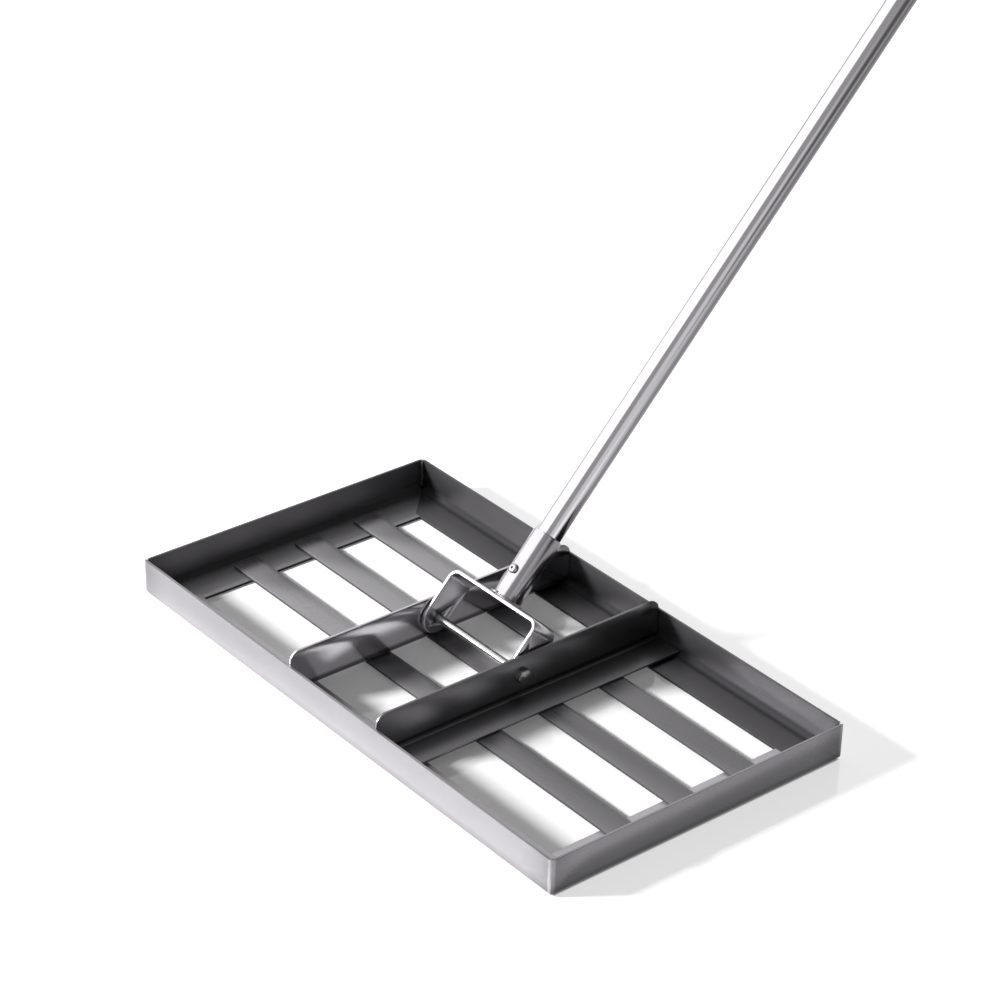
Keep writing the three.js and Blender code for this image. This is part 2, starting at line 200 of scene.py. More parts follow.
# where a finish begins and is full, in metres: heights from the ground, depths from a wall's outer face, ends
# from the end of a wall or bar
steelMasks = {
    "cutStep": 0.00012, "cutDepth": (0.018, 0.022), "roundEnd": (0.004, 0.0025), "roundDepth": 0.0014,
    "outerDepth": (0.0009, 0.0004), "outerHeight": (0.0, 0.024), "weldEnd": (0.03, 0.0),
    "foldHeight": (0.009, 0.004), "foldDepth": (0.009, 0.005), "flangeDepth": (0.006, 0.012),
    "barFoldTop": (0.012, 0.0085), "barFoldFoot": (0.0058, 0.0066),
    "tipHeight": (0.026, 0.030), "tipEnd": (0.022, 0.010),
}


def brushedMarks(graph, place, grain):
    detail = steelDetail
    aligned = graph.add("ShaderNodeMapping", None, {"Vector": place, "Rotation": grainTurns[grain]})

    def streaks(count, length, fineness, roughness):
        lines = graph.add("ShaderNodeMapping", None, {"Vector": aligned, "Scale": (count, count, length)})
        return graph.noise(lines, 1, fineness, roughness)

    fine = streaks(detail["lineCount"], detail["lineLength"], fineness=3, roughness=0.6)
    coarse = streaks(detail["scratchCount"], detail["scratchLength"], fineness=2, roughness=0.5)
    clouds = graph.noise(place, detail["cloudSize"], detail=3, roughness=0.55)
    patches = graph.noise(place, detail["smudgeSize"], detail=4, distortion=0.6)
    scratches = graph.spread(coarse, *detail["scratchFrom"])
    smudges = graph.spread(patches, *detail["smudgeFrom"])
    return fine, scratches, clouds, smudges


def wallTones(graph, finish, axes, mottle, smudges):  # a wall's colour, roughness and the depth into it
    masks = steelMasks
    tone = finish["tone"]
    rough = finish["rough"]
    axis, face, upper, lower, outerRough = finish["outside"]
    index = "XY".index(axis)
    inward = 1 if face < headMiddle[index] else -1
    depth = (axes[index] - face) * inward
    height = axes[2]
    sideways = graph.unsigned(axes[0])
    depthways = graph.unsigned(axes[1] - headMiddle.y)
    endX = wallRight
    endY = wallFar - headMiddle.y

    def nearCorner(start, end):
        return graph.spread(sideways, endX - start, endX - end) * graph.spread(depthways, endY - start, endY - end)

    corner = nearCorner(*masks["roundEnd"])
    onOuter = graph.spread(depth - corner * masks["roundDepth"], *masks["outerDepth"])
    # painted shade: the outer face turns darker towards the ground
    outer = graph.spread(height, *masks["outerHeight"], (lower, upper)) * mottle
    # painted shade in the fold between wall and flange, and the flange's tone eased in from there
    inFold = graph.spread(height, *masks["foldHeight"]) * graph.spread(depth, *masks["foldDepth"])
    onFlange = graph.spread(depth, *masks["flangeDepth"])
    inner = tone + onFlange * (finish["flange"] - tone)
    inner = inner * (1 - inFold * steelDetail["foldShade"]) * mottle
    least = steelDetail["weldTintLeast"]
    dulled = 1 - nearCorner(*masks["weldEnd"]) * steelDetail["weldTint"] * (least + smudges * (1 - least))
    # painted highlight on the rounded outer corner
    colour = (inner + onOuter * (outer * (1 + corner * steelDetail["roundHighlight"]) - inner)) * dulled
    rough = rough + onOuter * (outerRough - rough) + inFold * steelDetail["foldRough"]
    return colour, rough, depth


def barTones(graph, finish, axes, colour):  # painted shade in the fold, and a far tip that is darker
    masks = steelMasks
    height = axes[2]
    inFold = graph.spread(height, *masks["barFoldTop"]) * graph.spread(height, *masks["barFoldFoot"])
    start, end = masks["tipEnd"]
    onTip = graph.spread(height, *masks["tipHeight"]) * graph.spread(axes[1], wallFar - start, wallFar - end)
    shaded = colour * (1 - inFold * steelDetail["barFoldShade"])
    return graph.blend(onTip, shaded, (*grey(finish["tip"]), 1))


def tubeUnderShade(graph, finish, axes, colour):  # darker on the side that faces down at rest: painted shade
    radius, start, end, left = finish["under"]
    lean = math.radians(handleAngle)
    below = (axes[1] - pivot.y) * (math.sin(lean) / radius) - (axes[2] - pivot.z) * (math.cos(lean) / radius)
    return colour * graph.spread(below, start, end, (1, left))


def steelMaterial(name, finish):
    material, graph = newMaterial(name)
    detail = steelDetail
    place = graph.add("ShaderNodeTexCoord", out="Object")
    axes = graph.axes(place)
    fine, scratches, clouds, smudges = brushedMarks(graph, place, finish["grain"])
    share = clouds * detail["cloudShare"] + fine * (1 - detail["cloudShare"])
    wander = detail["wander"]
    depth = None
    if "outside" in finish:
        mottle = 1 + (share - 0.5) * (wander * 2)
        colour, rough, depth = wallTones(graph, finish, axes, mottle, smudges)
    else:
        low, high = detail["warmth"]
        tone = finish["tone"]
        colour = graph.tint(share, grey(tone * (1 - wander), low), grey(tone * (1 + wander), high))
        rough = finish["rough"]
    # painted reflection: a slat is lighter at its left end and darker from its middle on
    for start, end, level in finish.get("fade", ()):
        reached = graph.tint(share, grey(level * (1 - wander)), grey(level * (1 + wander)))
        colour = graph.blend(graph.spread(axes[0], start, end), colour, reached)
    if "tip" in finish:
        colour = barTones(graph, finish, axes, colour)
    if "under" in finish:
        colour = tubeUnderShade(graph, finish, axes, colour)
    # painted shade: the cut edges low on slats and flanges are painted near black
    if "cutTop" in finish:
        shadedEdges = graph.spread(axes[2], finish["cutTop"], finish["cutTop"] - steelMasks["cutStep"])
        if depth is not None:
            shadedEdges = shadedEdges * graph.spread(depth, *steelMasks["cutDepth"])
        colour = graph.blend(shadedEdges, colour, detail["edgeShadeColour"])
        rough = rough + shadedEdges * detail["cutRough"]
    colour = graph.blend(1.0, colour, (*detail["cast"], 1), "MULTIPLY")
    rough = rough + (fine - 0.5) * detail["roughLines"] + (clouds - 0.5) * detail["roughClouds"] \
        + smudges * detail["roughSmudges"] + scratches * detail["roughScratches"]
    bump = graph.add("ShaderNodeBump", None, {
        "Height": fine + scratches * detail["scratchDepth"], "Strength": detail["lineStrength"],
        "Distance": detail["lineDepth"]})
    graph.surface({"Base Color": colour, "Roughness": rough, "Metallic": finish.get("metal", 1.0), "Normal": bump})
    return material


steels = {name: steelMaterial(name, finish) for name, finish in steelFinishesAndPaintedLight.items()}


# zinc plate, weld metal and black plastic

platedFinish = {"low": grey(0.30), "high": grey(0.40), "rough": 0.24, "roughWander": 0.2, "mottle": 420,
                "bump": 0.2, "bumpDepth": 0.00004}
weldFinish = {"burntAndShaded": grey(0.035), "dark": grey(0.08), "dull": grey(0.24), "bright": (0.55, 0.54, 0.52),
              "rough": 0.45, "roughWander": 0.3, "grainSize": 700, "heatSize": 160, "heatShare": 0.6,
              "heatFrom": (0.35, 0.65), "bump": 0.5, "bumpDepth": 0.00012}
plasticFinish = {"low": (0.012, 0.012, 0.013), "high": (0.030, 0.030, 0.032), "rough": 0.5, "roughWander": 0.25,
                 "pimples": 1500, "dustSize": 60, "dustFrom": (0.4, 0.7), "bump": 0.4, "bumpDepth": 0.00008}


def bumpy(graph, height, finish):
    sockets = {"Height": height, "Strength": finish["bump"], "Distance": finish["bumpDepth"]}
    return graph.add("ShaderNodeBump", None, sockets)


def platedMaterial():
    material, graph = newMaterial("platedSteel")
    finish = platedFinish
    place = graph.add("ShaderNodeTexCoord", out="Object")
    mottle = graph.noise(place, finish["mottle"], detail=4, roughness=0.6)
    graph.surface({"Base Color": graph.tint(mottle, finish["low"], finish["high"]), "Metallic": 1.0,
                   "Roughness": finish["rough"] + (mottle - 0.5) * finish["roughWander"],
                   "Normal": bumpy(graph, mottle, finish)})
    return material


def weldMaterial(name, low, high):
    material, graph = newMaterial(name)
    finish = weldFinish
    place = graph.add("ShaderNodeTexCoord", out="Object")
    grain = graph.noise(place, finish["grainSize"], detail=5, roughness=0.65)
    heat = graph.noise(place, finish["heatSize"])
    blotches = heat * finish["heatShare"] + grain * (1 - finish["heatShare"])
    graph.surface({"Base Color": graph.tint(graph.spread(blotches, *finish["heatFrom"]), low, high),
                   "Metallic": 1.0, "Roughness": finish["rough"] + (grain - 0.5) * finish["roughWander"],
                   "Normal": bumpy(graph, grain, finish)})
    return material


def plasticMaterial():
    material, graph = newMaterial("mouldedPlastic")
    finish = plasticFinish
    place = graph.add("ShaderNodeTexCoord", out="Object")
    pimples = graph.add("ShaderNodeTexVoronoi", None, {"Vector": place, "Scale": finish["pimples"]})
    dust = graph.noise(place, finish["dustSize"], detail=5)
    graph.surface({"Base Color": graph.tint(graph.spread(dust, *finish["dustFrom"]), finish["low"], finish["high"]),
                   "Roughness": finish["rough"] + (dust - 0.5) * finish["roughWander"],
                   "Normal": bumpy(graph, pimples, finish)})
    return material


plated = platedMaterial()
# the corner beads' low tones are painted shade of the inside corners, on top of their heat colour
cornerMetal = weldMaterial("cornerWeldMetal", weldFinish["burntAndShaded"], weldFinish["dark"])
socketMetal = weldMaterial("socketWeldMetal", weldFinish["dull"], weldFinish["bright"])
blackPlastic = plasticMaterial()
print("materials made")


# mesh helpers


def linked(name, mesh):
    item = bpy.data.objects.new(name, mesh)
    bpy.context.scene.collection.objects.link(item)
    return item


def meshOf(name, bm):
    mesh = bpy.data.meshes.new(name)
    bm.to_mesh(mesh)
    bm.free()
    return mesh


def finishPiece(name, bm, place, node, body, material, smoothTo=35):  # smooth up to that many degrees
    bmesh.ops.remove_doubles(bm, verts=bm.verts, dist=merge)
    bmesh.ops.transform(bm, matrix=place, verts=bm.verts)
    bmesh.ops.recalc_face_normals(bm, faces=bm.faces)
    mesh = meshOf(name, bm)
    mesh.shade_smooth()
    mesh.set_sharp_from_angle(angle=math.radians(smoothTo))
    piece = linked(name, mesh)
    mesh.materials.append(material)
    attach(piece, body)
    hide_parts(node)
    return piece


def only(kind, items):  # the points, edges or faces among what an operator gives back
    return [item for item in items if isinstance(item, kind)]


def outlineFace(bm, points):
    return bm.faces.new([bm.verts.new(point) for point in points])


def pushed(bm, face, step):  # a solid from a face, pushed along a vector
    moved = bmesh.ops.extrude_face_region(bm, geom=[face])
    bmesh.ops.translate(bm, vec=step, verts=only(bmesh.types.BMVert, moved["geom"]))
    bmesh.ops.recalc_face_normals(bm, faces=bm.faces)


def rounded(bm, edges, radius, segments=2):
    bmesh.ops.bevel(bm, geom=edges, offset=radius, offset_type="OFFSET", affect="EDGES", segments=segments,
                    profile=0.5, material=-1, clamp_overlap=True)


def sharpEdges(bm, limit=40):
    return [edge for edge in bm.edges
            if len(edge.link_faces) == 2 and edge.calc_face_angle(0) > math.radians(limit)]


def closed(bm):  # fills what is open
    bmesh.ops.holes_fill(bm, edges=[edge for edge in bm.edges if edge.is_boundary], sides=0)


def sliced(bm, point, normal):  # cuts off what lies on the normal's side and closes the cut
    geom = [*bm.verts, *bm.edges, *bm.faces]
    bmesh.ops.bisect_plane(bm, geom=geom, dist=merge, plane_co=point, plane_no=normal, clear_outer=True)
    closed(bm)


def spun(points, steps, loop=False):  # spins a line of radius and height about Z
    bm = bmesh.new()
    verts = [bm.verts.new((radius, 0, height)) for radius, height in points]
    edges = [bm.edges.new(pair) for pair in zip(verts, verts[1:])]
    if loop:
        edges.append(bm.edges.new((verts[-1], verts[0])))
    bmesh.ops.spin(bm, geom=[*verts, *edges], cent=(0, 0, 0), axis=(0, 0, 1), angle=2 * math.pi, steps=steps,
                   use_merge=True)
    bmesh.ops.remove_doubles(bm, verts=bm.verts, dist=merge)
    bmesh.ops.recalc_face_normals(bm, faces=bm.faces)
    return bm


def joined(bm, other, name):  # adds a second bmesh to the first
    shape = meshOf(name, other)
    bm.from_mesh(shape)
    bpy.data.meshes.remove(shape)


def quarterTurns(steps):  # the angles inside a quarter circle
    return [math.radians(90) * step / steps for step in range(1, steps)]


def drilled(piece, start, end, radius, steps=32):  # a round hole from start to end
    bm = bmesh.new()
    step = end - start
    place = Matrix.Translation((start + end) / 2) @ step.to_track_quat("Z", "Y").to_matrix().to_4x4()
    bmesh.ops.create_cone(bm, cap_ends=True, segments=steps, radius1=radius, radius2=radius, depth=step.length,
                          matrix=place)
    drill = linked("drill", meshOf("drill", bm))
    cut = piece.modifiers.new("hole", "BOOLEAN")
    cut.operation = "DIFFERENCE"
    cut.solver = "EXACT"
    cut.object = drill
    bpy.context.view_layer.update()
    done = bpy.data.meshes.new_from_object(piece.evaluated_get(bpy.context.evaluated_depsgraph_get()))
    piece.modifiers.clear()
    piece.data = done
    bpy.data.objects.remove(drill)


# frame walls: folded angles, mitred, their outer corners ground round

wallForm = {"sheet": 0.002, "outerBend": 0.0045, "innerBend": 0.004, "longFlange": 0.0288, "sideFlange": 0.034,
            "edgeEase": 0.00035, "cornerRound": 0.0022, "cornerSteps": 4, "bendSteps": 8}


def angleBlank(form, foot, height, length):
    bm = bmesh.new()
    sheet = form["sheet"]
    section = [(0, 0), (foot, 0), (foot, sheet), (sheet, sheet), (sheet, height), (0, height)]
    pushed(bm, outlineFace(bm, [(x, y, 0) for x, y in section]), (0, 0, length))
    for place, radius in (((0, 0), form["outerBend"]), ((sheet, sheet), form["innerBend"])):
        bend = [edge for edge in bm.edges
                if all((Vector(vert.co.xy) - Vector(place)).length < match for vert in edge.verts)]
        rounded(bm, bend, radius, form["bendSteps"])
    return bm


def foldedWall(name, inward, corner, length, flange, material):
    form = wallForm
    shared = form["longFlange"]
    bm = angleBlank(form, min(flange, shared), wallTop, length)
    for end, turn in ((0, -1), (length, 1)):
        sliced(bm, (0, 0, end), (1, 0, turn))  # the mitre
        centre = Vector((form["cornerRound"], 0, end - turn * form["cornerRound"]))
        for step in range(1, form["cornerSteps"] + 1):
            lean = math.radians(45) * step / form["cornerSteps"]
            normal = Vector((-math.cos(lean), 0, turn * math.sin(lean)))
            sliced(bm, centre + normal * form["cornerRound"], normal)
    if flange > shared:  # the side walls' wider flange, cut square beside the long walls' flanges
        inner = [face for face in bm.faces
                 if face.normal.x > 0.99 and face.calc_center_median().x > shared - match]
        moved = bmesh.ops.extrude_face_region(bm, geom=inner)
        verts = only(bmesh.types.BMVert, moved["geom"])
        bmesh.ops.translate(bm, vec=(flange - shared, 0, 0), verts=verts)
        bmesh.ops.delete(bm, geom=inner, context="FACES_ONLY")
        bmesh.ops.recalc_face_normals(bm, faces=bm.faces)
    # the mitres stay sharp, because the next wall meets them
    eased = [edge for edge in sharpEdges(bm) if all(abs(face.normal.z) < 0.2 for face in edge.link_faces)]
    rounded(bm, eased, form["edgeEase"])
    along = inward.cross(up)
    place = Matrix.Translation(corner) @ Matrix((inward, up, along)).transposed().to_4x4()
    finishPiece(name, bm, place, name.replace("Folded", "_wall"), "head", material,
                smoothTo=24)


wallLength = wallRight - wallLeft
wallDepth = wallFar - wallNear
foldedWall("nearFolded", Vector((0, 1, 0)), Vector((wallLeft, wallNear, 0)), wallLength, wallForm["longFlange"],
           steels["nearWallSteel"])
foldedWall("rightFolded", Vector((-1, 0, 0)), Vector((wallRight, wallNear, 0)), wallDepth, wallForm["sideFlange"],
           steels["rightWallSteel"])
foldedWall("farFolded", Vector((0, -1, 0)), Vector((wallRight, wallFar, 0)), wallLength, wallForm["longFlange"],
           steels["farWallSteel"])
foldedWall("leftFolded", Vector((1, 0, 0)), Vector((wallLeft, wallFar, 0)), wallDepth, wallForm["sideFlange"],
           steels["leftWallSteel"])
print("walls folded")


# corner welds: a rippled bead up the inside of each corner

cornerBead = {"radius": 0.0021, "rings": 46, "sides": 16, "ripple": 0.00022, "ripples": 11, "setback": 0.0008,
              "taper": 0.45, "taperRate": 9}


def cornerWeld(node, sideX, sideY):
    form = cornerBead
    low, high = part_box(node)
    height = high.z - low.z
    bm = bmesh.new()
    bmesh.ops.create_cone(bm, cap_ends=True, segments=form["sides"], radius1=form["radius"],
                          radius2=form["radius"], depth=height, matrix=Matrix.Translation((0, 0, height / 2)))
    for ring in range(1, form["rings"]):
        geom = [*bm.verts, *bm.edges, *bm.faces]
        bmesh.ops.bisect_plane(bm, geom=geom, dist=merge, plane_co=(0, 0, height * ring / form["rings"]),
                               plane_no=(0, 0, 1))
    for vert in bm.verts:
        share = vert.co.z / height
        swell = form["ripple"] * abs(math.sin(math.pi * form["ripples"] * share)) - form["ripple"]
        taper = 1 - form["taper"] * max(0, 1 - form["taperRate"] * min(share, 1 - share))
        reach = vert.co.xy.length
        if reach > match:
            vert.co.xy *= (reach + swell) * taper / reach
    x = (low.x if sideX < 0 else high.x) - sideX * form["setback"]
    y = (low.y if sideY < 0 else high.y) - sideY * form["setback"]
    place = Matrix.Translation((x, y, low.z))
    finishPiece(node.replace("_weld", "_bead"), bm, place, node, "head", cornerMetal,
                smoothTo=60)


for nodeName, sideX, sideY in (("near_left_weld", -1, -1), ("near_right_weld", 1, -1),
                               ("far_right_weld", 1, 1), ("far_left_weld", -1, 1)):
    cornerWeld(nodeName, sideX, sideY)


# slats: flat strips with rounded corners

slatForm = {"cornerRound": 0.0025, "cornerSteps": 6, "edgeEase": 0.0003}


def slatPiece(node):
    low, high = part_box(node)
    bm = bmesh.new()
    corners = [(low.x, low.y), (high.x, low.y), (high.x, high.y), (low.x, high.y)]
    pushed(bm, outlineFace(bm, [(x, y, low.z) for x, y in corners]), (0, 0, high.z - low.z))
    upright = [edge for edge in bm.edges if abs(edge.verts[0].co.z - edge.verts[1].co.z) > match]
    rounded(bm, upright, slatForm["cornerRound"], slatForm["cornerSteps"])
    rounded(bm, sharpEdges(bm), slatForm["edgeEase"])
    finishPiece(node.replace("_slat", "_strip"), bm, Matrix(), node, "head", steels["slatSteel"])


for nodeName in ("near_slat", "middle_slat", "far_slat"):
    slatPiece(nodeName)


# cross bars: folded angles with round top corners and a hole for the bolt

barForm = {"sheet": 0.002, "outerBend": 0.0045, "innerBend": 0.0025, "bendSteps": 8, "topRound": 0.008,
           "topSteps": 10, "edgeEase": 0.0004, "holeRadius": 0.0033, "drillReach": 0.01}


def crossBar(node, side, material):
    form = barForm
    low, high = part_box(node)
    foot = high.x - low.x
    height = high.z - low.z
    length = high.y - low.y
    bm = angleBlank(form, foot, height, length)
    topEnds = [edge for edge in bm.edges
               if all(vert.co.y > height - match for vert in edge.verts)
               and abs(edge.verts[0].co.z - edge.verts[1].co.z) < match]
    rounded(bm, topEnds, form["topRound"], form["topSteps"])
    rounded(bm, sharpEdges(bm), form["edgeEase"])
    outward = Vector((side, 0, 0))
    along = outward.cross(up)
    plateX = low.x if side > 0 else high.x
    startY = low.y if along.y > 0 else high.y
    place = Matrix.Translation((plateX, startY, low.z)) @ Matrix((outward, up, along)).transposed().to_4x4()
    bar = finishPiece(node.replace("_crossbar", "_bar"), bm, place, node, "head", material,
                      smoothTo=30)
    middle = Vector((plateX, pivot.y, pivot.z))
    across = outward * form["drillReach"]
    drilled(bar, middle - across, middle + across, form["holeRadius"])


crossBar("left_crossbar", -1, steels["leftBarSteel"])
crossBar("right_crossbar", 1, steels["rightBarSteel"])
print("slats and bars made")


# pivot: hexagon bolt with a threaded end, washer and lock nut

boltForm = {"radius": 0.003, "headFlats": 0.010, "headHeight": 0.004, "threadLength": 0.016, "threadStep": 0.001,
            "threadDepth": 0.00045, "crestShare": 0.15, "pointBevel": 0.0008, "edgeEase": 0.00015, "steps": 40}
nutForm = {"flats": 0.010, "height": 0.006, "bore": 0.00305, "collar": 0.0014, "collarRadius": 0.0042,
           "collarEase": 0.0004, "collarRise": 0.0005, "collarFlare": 0.0003}
washerForm = {"edgeEase": 0.00025}
hexChamfer = {"start": 0.9, "out": 0.5, "up": 0.87}  # its start in corner radii and the way that it faces
lieAlongX = Matrix.Rotation(math.radians(90), 4, "Y")


def onPivot(x):  # the place of a piece that lies round the pivot's axis
    return Matrix.Translation((x, pivot.y, pivot.z)) @ lieAlongX


def hexPrism(flats, height):  # stands on z = 0, corners chamfered at both faces
    bm = bmesh.new()
    radius = flats / math.sqrt(3)
    bmesh.ops.create_cone(bm, cap_ends=True, segments=6, radius1=radius, radius2=radius, depth=height,
                          matrix=Matrix.Translation((0, 0, height / 2)))
    for corner in {(round(vert.co.x, 7), round(vert.co.y, 7)) for vert in bm.verts}:
        outward = Vector((*corner, 0)).normalized()
        for face, sign in ((height, 1), (0, -1)):
            tip = outward * (radius * hexChamfer["start"]) + Vector((0, 0, face))
            sliced(bm, tip, outward * hexChamfer["out"] + Vector((0, 0, sign * hexChamfer["up"])))
    rounded(bm, sharpEdges(bm, limit=20), boltForm["edgeEase"])
    return bm


def boltPiece():
    form = boltForm
    low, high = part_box("pivot_bolt")
    radius = form["radius"]
    length = high.x - low.x - form["headHeight"]
    points = [(0, 0), (radius - form["pointBevel"], 0), (radius, form["pointBevel"])]
    crest = form["pointBevel"]
    while crest < form["threadLength"]:
        points.append((radius, crest + form["threadStep"] * form["crestShare"]))
        points.append((radius - form["threadDepth"], crest + form["threadStep"] * 0.5))
        points.append((radius, crest + form["threadStep"] * (1 - form["crestShare"])))
        crest += form["threadStep"]
    points.append((radius, length))
    bm = spun(points, form["steps"])
    closed(bm)
    head = hexPrism(form["headFlats"], form["headHeight"])
    bmesh.ops.translate(head, vec=(0, 0, length), verts=head.verts)
    joined(bm, head, "boltHead")
    finishPiece("pivotRod", bm, onPivot(low.x), "pivot_bolt", "head", plated, smoothTo=30)


def washerPiece():
    low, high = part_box("pivot_washer")
    thick = high.x - low.x
    outer = (high.z - low.z) / 2
    hole = barForm["holeRadius"]
    bm = spun([(hole, 0), (outer, 0), (outer, thick), (hole, thick)], boltForm["steps"], loop=True)
    rounded(bm, sharpEdges(bm), washerForm["edgeEase"])
    finishPiece("flatWasher", bm, onPivot(low.x), "pivot_washer", "head", plated, smoothTo=30)


def nutPiece():
    form = nutForm
    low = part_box("pivot_nut")[0]
    bm = hexPrism(form["flats"], form["height"] - form["collar"])
    bmesh.ops.translate(bm, vec=(0, 0, form["collar"]), verts=bm.verts)
    radius = form["collarRadius"]
    points = [(form["bore"], form["collarFlare"]), (radius - form["collarEase"], 0), (radius, form["collarRise"]),
              (radius + form["collarFlare"], form["collar"]), (form["bore"], form["collar"])]
    joined(bm, spun(points, boltForm["steps"], loop=True), "nutCollar")
    finishPiece("lockNut", bm, onPivot(low.x), "pivot_nut", "head", plated, smoothTo=30)


boltPiece()
washerPiece()
nutPiece()
print("pivot made")


# yoke: one strip bent twice, its feet round about the bolt

yokeForm = {"width": 0.025, "thick": 0.003, "reach": 0.0363, "outerBend": 0.008, "bendSteps": 10,
            "footShare": 0.998, "footSteps": 14, "footMerge": 0.00005, "edgeEase": 0.0010, "easeSteps": 3,
            "drillReach": 0.06}


def yokePiece():
    form = yokeForm
    low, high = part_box("yoke")
    half = (high.x - low.x) / 2
    radius = form["width"] / 2
    bendX = half - form["outerBend"]
    bendZ = form["reach"] - form["outerBend"]
    inner = half - form["thick"]
    bm = bmesh.new()
    first = outlineFace(bm, [(inner, -radius, -radius), (half, -radius, -radius),
                             (half, radius, -radius), (inner, radius, -radius)])

    def along(faces, step):
        moved = bmesh.ops.extrude_face_region(bm, geom=faces)["geom"]
        if first not in faces:
            bmesh.ops.delete(bm, geom=faces, context="FACES_ONLY")
        bmesh.ops.translate(bm, vec=step, verts=only(bmesh.types.BMVert, moved))
        return only(bmesh.types.BMFace, moved)

    def around(faces, centre):
        edges = {edge for face in faces for edge in face.edges}
        verts = {vert for face in faces for vert in face.verts}
        last = bmesh.ops.spin(bm, geom=[*faces, *edges, *verts], cent=centre, axis=(0, -1, 0),
                              angle=math.radians(90), steps=form["bendSteps"])["geom_last"]
        return only(bmesh.types.BMFace, last)

    tip = along([first], (0, 0, bendZ + radius))
    tip = around(tip, (bendX, 0, bendZ))
    tip = along(tip, (-2 * bendX, 0, 0))
    tip = around(tip, (-bendX, 0, bendZ))
    along(tip, (0, 0, -bendZ - radius))
    bmesh.ops.remove_doubles(bm, verts=bm.verts, dist=merge)
    inside = [face for face in bm.faces if all(len(edge.link_faces) > 2 for edge in face.edges)]
    bmesh.ops.delete(bm, geom=inside, context="FACES_ONLY")
    bmesh.ops.recalc_face_normals(bm, faces=bm.faces)
    feet = [edge for edge in bm.edges
            if all(vert.co.z < -radius + match for vert in edge.verts)
            and abs(edge.verts[0].co.y - edge.verts[1].co.y) < match]
    rounded(bm, feet, radius * form["footShare"], form["footSteps"])
    bmesh.ops.remove_doubles(bm, verts=bm.verts, dist=form["footMerge"])
    rounded(bm, sharpEdges(bm, limit=50), form["edgeEase"], form["easeSteps"])
    yoke = finishPiece("bentYoke", bm, handlePlace, "yoke", "handle",
                       steels["yokeSteel"], smoothTo=30)
    across = Vector((form["drillReach"], 0, 0))
    drilled(yoke, pivot - across, pivot + across, barForm["holeRadius"])


yokePiece()


# socket, its weld and its screw

socketForm = {"outer": 0.011, "inner": 0.00975, "edgeEase": 0.0004, "easeSteps": 3, "steps": 72}
beadForm = {"reach": 0.0016, "height": 0.0017, "bite": 0.0004, "sink": 0.0001, "arcSteps": 6, "steps": 180,
            "ripples": 30, "ripple": 0.00018, "hollow": 0.6, "lift": 0.5,
            "blob": 0.0013, "blobAngle": math.radians(-97), "blobWidth": 0.16}  # the last drop of the weld
screwForm = {"shank": 0.002, "head": 0.0037, "rise": 0.0022, "rim": 0.0003, "underCut": 0.0002, "domeSteps": 9,
             "key": 0.00125, "keySeat": 1.5, "keyDepth": 0.0013, "steps": 36}


def alongHandle(node):  # lowest and highest place of a node along the handle, from the pivot
    places = [(handleBack @ vert.co).z for vert in frame["nodes"][node].data.vertices]
    return min(places), max(places)


def socketPiece():
    form = socketForm
    bottom, top = alongHandle("handle_socket")
    points = [(form["inner"], bottom), (form["outer"], bottom), (form["outer"], top), (form["inner"], top)]
    bm = spun(points, form["steps"], loop=True)
    rounded(bm, sharpEdges(bm), form["edgeEase"], form["easeSteps"])
    finishPiece("weldedSocket", bm, handlePlace, "handle_socket", "handle",
                steels["socketSteel"], smoothTo=30)


def socketBead():
    form = beadForm
    foot = alongHandle("socket_weld")[0] - form["sink"]
    outer = socketForm["outer"]
    profile = [(outer - form["bite"], foot)]
    for turn in (0, *quarterTurns(form["arcSteps"]), math.radians(90)):
        profile.append((outer + form["reach"] * math.cos(turn), foot + form["height"] * math.sin(turn)))
    bm = spun(profile, form["steps"], loop=True)
    for vert in bm.verts:
        reach = vert.co.xy.length
        if reach > outer:
            angle = math.atan2(vert.co.y, vert.co.x)
            swell = form["ripple"] * (abs(math.sin(angle * form["ripples"] / 2)) - form["hollow"])
            swell += form["blob"] * math.exp(-((angle - form["blobAngle"]) / form["blobWidth"]) ** 2)
            vert.co.xy *= (reach + swell) / reach
            vert.co.z += swell * form["lift"]
    finishPiece("socketBead", bm, handlePlace, "socket_weld", "handle", socketMetal, smoothTo=60)


def socketScrew():
    form = screwForm
    places = [handleBack @ vert.co for vert in frame["nodes"]["socket_screw"].data.vertices]
    height = (min(place.z for place in places) + max(place.z for place in places)) / 2
    outside = -min(place.y for place in places)
    inside = -max(place.y for place in places)
    seat = outside - form["rise"]
    rim = seat + form["rim"]
    mouth = form["key"] * form["keySeat"]
    points = [(0, inside), (form["shank"], inside), (form["shank"], seat), (form["head"] - form["underCut"], seat),
              (form["head"], rim)]
    for turn in quarterTurns(form["domeSteps"]):
        points.append((mouth + (form["head"] - mouth) * math.cos(turn), rim + (outside - rim) * math.sin(turn)))
    points.append((mouth, outside))
    bm = spun(points, form["steps"])
    mouthEdges = [edge for edge in bm.edges if edge.is_boundary]
    key = bmesh.ops.create_circle(bm, segments=6, radius=form["key"], matrix=Matrix.Translation((0, 0, outside)))
    keyEdges = list({edge for vert in key["verts"] for edge in vert.link_edges})
    bmesh.ops.bridge_loops(bm, edges=mouthEdges + keyEdges)
    keyEdges = [edge for edge in bm.edges if edge.is_boundary]
    sunk = only(bmesh.types.BMVert, bmesh.ops.extrude_edge_only(bm, edges=keyEdges)["geom"])
    bmesh.ops.translate(bm, vec=(0, 0, -form["keyDepth"]), verts=sunk)
    closed(bm)
    place = handlePlace @ Matrix.Translation((0, 0, height)) @ Matrix.Rotation(math.radians(90), 4, "X")
    finishPiece("socketScrew", bm, place, "socket_screw", "handle", plated,
                smoothTo=30)


socketPiece()
socketBead()
socketScrew()
print("yoke and socket made")


# handle: three tubes and the cap; the studs and inserts of the joints keep their CAD meshes

